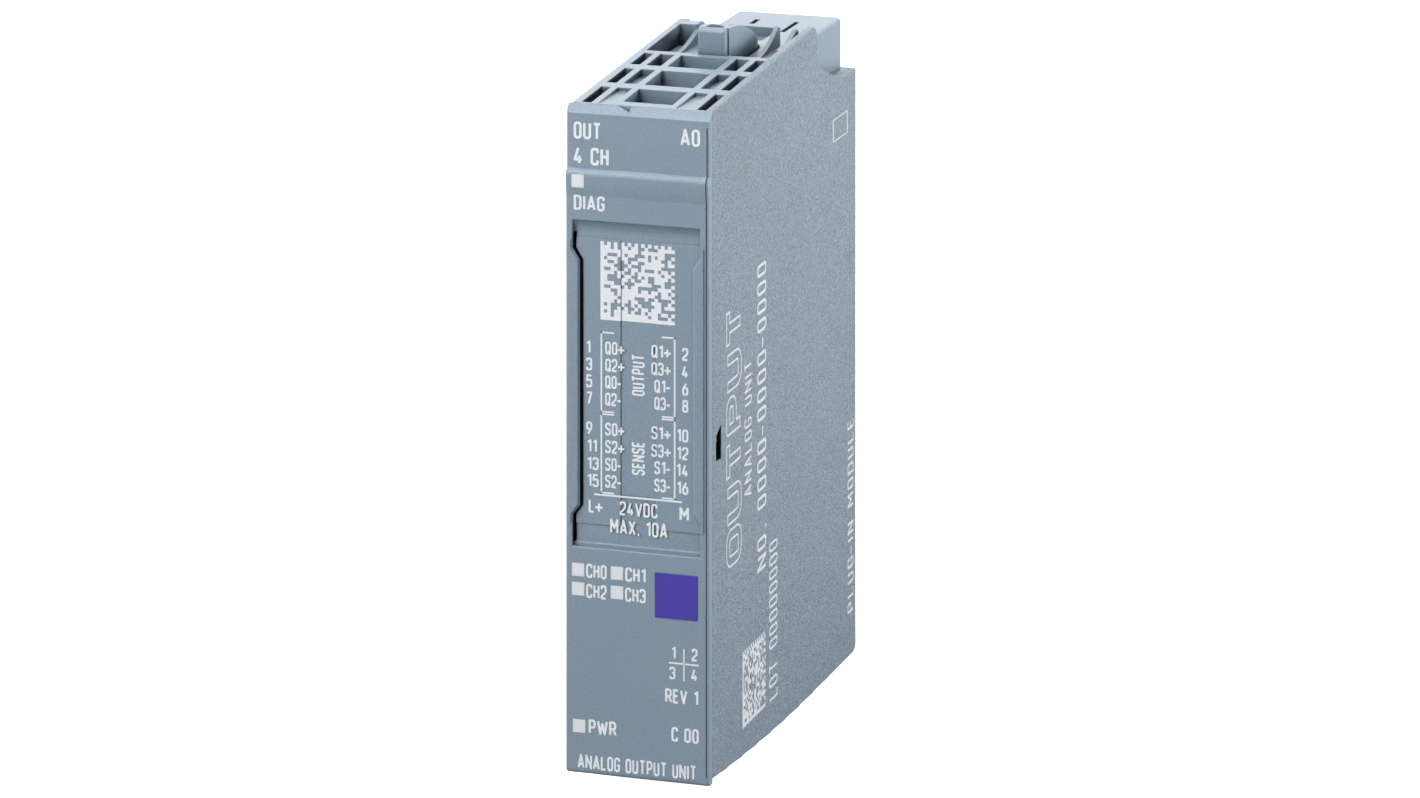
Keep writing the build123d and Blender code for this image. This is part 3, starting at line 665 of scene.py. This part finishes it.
def print_front_texts(material):
    """Header, lamp labels and the lower lines."""
    header = InkSheet()
    for text in HEADER_TEXTS:
        header.text(*text)
    print_front("print_header", header, HEADER_DEPTH, material)
    lower = InkSheet()
    for text in LOWER_TEXTS:
        lower.text(*text)
    for bar in PIN_CROSS:
        lower.bar(*bar)
    print_front("print_lamp_labels", lower, 0, material)


def add_terminal_row(sheet, group, row):
    """Numbers and signal names of one row, with odd numbers on the left and even ones on the right."""
    left_foot, right_foot = LEFT_ROWS[group][row], RIGHT_ROWS[group][row]
    odd = 8 * group + 2 * row + 1
    even = str(odd + 1)
    sheet.text(str(odd), NUMBER_LEFT[odd > 9], left_foot, TERMINAL_TALL)
    sheet.text(even, NUMBER_RIGHT - text_width(even) * TERMINAL_TALL, right_foot, TERMINAL_TALL)
    sign = "+" if row < 2 else "-"
    wide = SIGNAL_WIDE[sign]
    channel = 2 * (row % 2)
    left_name = f"{GROUP_LETTERS[group]}{channel}{sign}"
    right_name = f"{GROUP_LETTERS[group]}{channel + 1}{sign}"
    sheet.text(left_name, SIGNAL_LEFT, left_foot + SIGNAL_LIFT, TERMINAL_TALL, wide)
    sheet.text(right_name, SIGNAL_RIGHT - wide, right_foot + SIGNAL_LIFT, TERMINAL_TALL, wide)


def add_brackets(sheet):
    """Two pairs of brackets beside the terminal numbers, and the line under them."""
    pen = BRACKET_PEN
    for side, spine in BRACKET_SPINES:
        sheet.bar(spine - pen / 2, spine + pen / 2, BRACKET_FEET[0], BRACKET_TOP)
        low, high = sorted((spine - side * pen / 2, spine + side * BRACKET_ARM))
        for foot in (*BRACKET_FEET, BRACKET_TOP - pen):
            sheet.bar(low, high, foot, foot + BRACKET_ARM_PEN)
    sheet.bar(*BASE_LINE)


def print_terminals(material):
    """Terminal numbers, brackets and signal names in the label recess."""
    pads = InkSheet()
    lane = InkSheet()
    for group in range(2):
        for row in range(4):
            add_terminal_row(pads, group, row)
    add_brackets(pads)
    for text in SUPPLY_TEXTS:
        pads.text(*text)
    for text in LANE_TEXTS:
        lane.text(*text, turned=True)
    squares = cell_squares(*FRONT_PATTERN)
    pads.add(*union_shapes([square for square in squares if not in_lane(square)]))
    lane.add(*union_shapes([square for square in squares if in_lane(square)]))
    print_front("print_pads", pads, PAD_DEPTH, material)
    print_front("print_lane", lane, LANE_DEPTH, material)


def print_side_texts(material):
    """Plain generic lines that read upwards on the textured side."""
    sheet = InkSheet()
    sheet.text(*OUTLINED_TEXT, OUTLINED_TRACKING, True, outline_shape)
    for text in SIDE_TEXTS:
        sheet.text(*text, SIDE_TRACKING, True, light_shape)
    near, far = FRAME_DEPTHS
    low, high = FRAME_HEIGHTS
    level, upright = FRAME_PENS
    for foot in (low, high - level):
        sheet.bar(near, far, foot, foot + level)
    for left in (near, far - upright):
        sheet.bar(left, left + upright, low + level, high - level)
    sheet.add(*union_shapes(cell_squares(*SIDE_PATTERN)))
    sheet.build("print_side", side_spot, RIGHT, "side_plastic", material)


# ------------------------------------------------------------------------ stage and light
# Lengths in metres.
FLOOR_HALF = 1.5
FLOOR_GAP = 0.0005
# The floor glows in glossy rays only, as a painted reflection in the module; the glow is weaker near the
# middle, a painted shadow round the module.
SHEEN_NEAR = 0.04  # the floor's sheen grows from here outwards
SHEEN_FAR = 0.36
SHEEN_LEAST = 0.12
PAPER_GLOW = 0.82
BACKDROP_GLOW = 2.3
EVEN_GLOW = 0.11
SCENE_CENTRE = Vector((0, -0.025, 0))

# Name, place in metres, diameter in metres and watts.
LIGHTS = [
    ("key_softbox", (-0.18, -0.39, 0.4), 0.35, 2.6),
    ("top_softbox", (-0.05, -0.05, 0.45), 0.15, 0.9),
    ("right_softbox", (0.2, 0.0, 0.048), 0.08, 0.43),
    ("left_strip", (-0.35, -0.4, 0.1), 0.25, 0.75),
    ("rear_fill", (-0.4, 0.35, 0.15), 0.2, 0.9),
    ("front_fill", (0.02, -0.8, 0.05), 0.4, 0.5),
]


def floor_paper():
    """Paper that is almost white to the camera, glows in glossy rays as a painted reflection that is dimmer
    near the module, and throws little light back up.
    """
    material, tree, shader = new_material("floor_paper")
    path = add_node(tree, "LightPath")
    seen = path.outputs["Is Camera Ray"]
    geometry = add_node(tree, "NewGeometry")
    distance = add_node(tree, "VectorMath", operation="LENGTH")
    tree.links.new(geometry.outputs["Position"], distance.inputs[0])
    # Painted reflection: glossy rays see the floor glow, dimmer near the middle as a painted shadow.
    sheen = map_range(tree, distance.outputs["Value"], SHEEN_NEAR, SHEEN_FAR, SHEEN_LEAST)
    painted_reflection = calculate(tree, "MULTIPLY", path.outputs["Is Glossy Ray"], sheen)
    to_camera = calculate(tree, "MULTIPLY", seen, PAPER_GLOW)
    feed(tree, shader.inputs["Emission Strength"], calculate(tree, "ADD", painted_reflection, to_camera))
    shader.inputs["Emission Color"].default_value = (1, 1, 1, 1)
    paper = mix_color(tree, seen, (0.2, 0.2, 0.2, 1), (0.93, 0.93, 0.93, 1))
    tree.links.new(paper, shader.inputs["Base Color"])
    shader.inputs["Roughness"].default_value = 0.9
    # Seen from below the paper is clear, so that it never hides the module.
    sides = add_node(tree, "MixShader")
    tree.links.new(geometry.outputs["Backfacing"], sides.inputs[0])
    tree.links.new(shader.outputs[0], sides.inputs[1])
    tree.links.new(add_node(tree, "BsdfTransparent").outputs[0], sides.inputs[2])
    tree.links.new(sides.outputs[0], tree.nodes["Material Output"].inputs["Surface"])
    return material


def add_floor():
    """A plain pale floor just under the module."""
    half = FLOOR_HALF
    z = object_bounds()[0].z - FLOOR_GAP
    mesh = bpy.data.meshes.new("floor")
    corners = [(-half, -half, z), (half, -half, z), (half, half, z), (-half, half, z)]
    mesh.from_pydata(corners, [], [(0, 1, 2, 3)])
    mesh.materials.append(floor_paper())
    floor = bpy.data.objects.new("floor", mesh)
    bpy.context.scene.collection.objects.link(floor)


def add_lights():
    """Soft studio lights, the strongest from the front left above."""
    for name, place, size, power in LIGHTS:
        light = bpy.data.lights.new(name, "AREA")
        light.shape = "DISK"
        light.size = size
        light.energy = power
        lamp = bpy.data.objects.new(name, light)
        lamp.location = place
        lamp.rotation_euler = (SCENE_CENTRE - Vector(place)).to_track_quat("-Z", "Y").to_euler()
        bpy.context.scene.collection.objects.link(lamp)


def add_world():
    """White to the camera, a bright backdrop in glossy sheens, and a weak even light for the rest."""
    world = bpy.data.worlds.new("studio")
    world.use_nodes = True
    tree = world.node_tree
    direction = add_node(tree, "SeparateXYZ")
    tree.links.new(add_node(tree, "TexCoord").outputs["Generated"], direction.inputs[0])
    behind = map_range(tree, direction.outputs["Y"], 0.2, 0.9)
    above = map_range(tree, direction.outputs["Z"], -0.02, 0.08)
    path = add_node(tree, "LightPath")
    backdrop = calculate(tree, "MULTIPLY", calculate(tree, "MULTIPLY", behind, above), BACKDROP_GLOW)
    sheen = calculate(tree, "MULTIPLY", backdrop, path.outputs["Is Glossy Ray"])
    even = calculate(tree, "MAXIMUM", path.outputs["Is Camera Ray"], EVEN_GLOW)
    background = tree.nodes["Background"]
    background.inputs["Color"].default_value = (1, 1, 1, 1)
    feed(tree, background.inputs["Strength"], calculate(tree, "ADD", sheen, even))
    bpy.context.scene.world = world


# ---------------------------------------------------------------------------------- camera
CAMERA_PLACE = (192.0, -566.15, 196.28)  # mm, from the middle of the front's foot
CAMERA_AZIMUTH = 18.04  # degrees
LENS = 153.19  # mm
SENSOR_WIDTH = 36.0  # mm
LENS_SHIFT = -1.129  # downward, as a share of the sensor width
SHIFT_REACH = 0.05  # metres from the tripod at which the shift has faded away


def add_camera():
    """A level view camera with a downward lens shift, so that upright edges stay parallel."""
    data = bpy.data.cameras.new("view_camera")
    data.sensor_width = SENSOR_WIDTH
    data.lens = LENS
    data.clip_start = 0.01
    camera = bpy.data.objects.new("view_camera", data)
    tripod = bpy.data.objects.new("tripod", None)
    camera.rotation_euler = (math.pi / 2, 0, math.radians(CAMERA_AZIMUTH))
    for thing in (camera, tripod):
        thing.location = Vector(CAMERA_PLACE) * MM + Vector((0, FRONT_Y, FOOT_Z))
        bpy.context.scene.collection.objects.link(thing)
    bpy.context.scene.camera = camera
    # The lens is only shifted while the camera stands at its own tripod.
    curve = data.driver_add("shift_y")
    while curve.modifiers:
        curve.modifiers.remove(curve.modifiers[0])
    curve.driver.type = "SUM"
    away = curve.driver.variables.new()
    away.type = "LOC_DIFF"
    away.targets[0].id = camera
    away.targets[1].id = tripod
    for distance, shift in ((0.0, LENS_SHIFT), (SHIFT_REACH, 0.0)):
        curve.keyframe_points.insert(distance, shift).interpolation = "LINEAR"


dress_nodes()
white_ink = ink("white_ink", (0.78, 0.82, 0.86))
print_front_texts(white_ink)
print_terminals(white_ink)
print_side_texts(ink("side_ink", (0.62, 0.66, 0.7)))
add_floor()
add_lights()
add_world()
add_camera()
bpy.context.scene.view_settings.view_transform = "Standard"
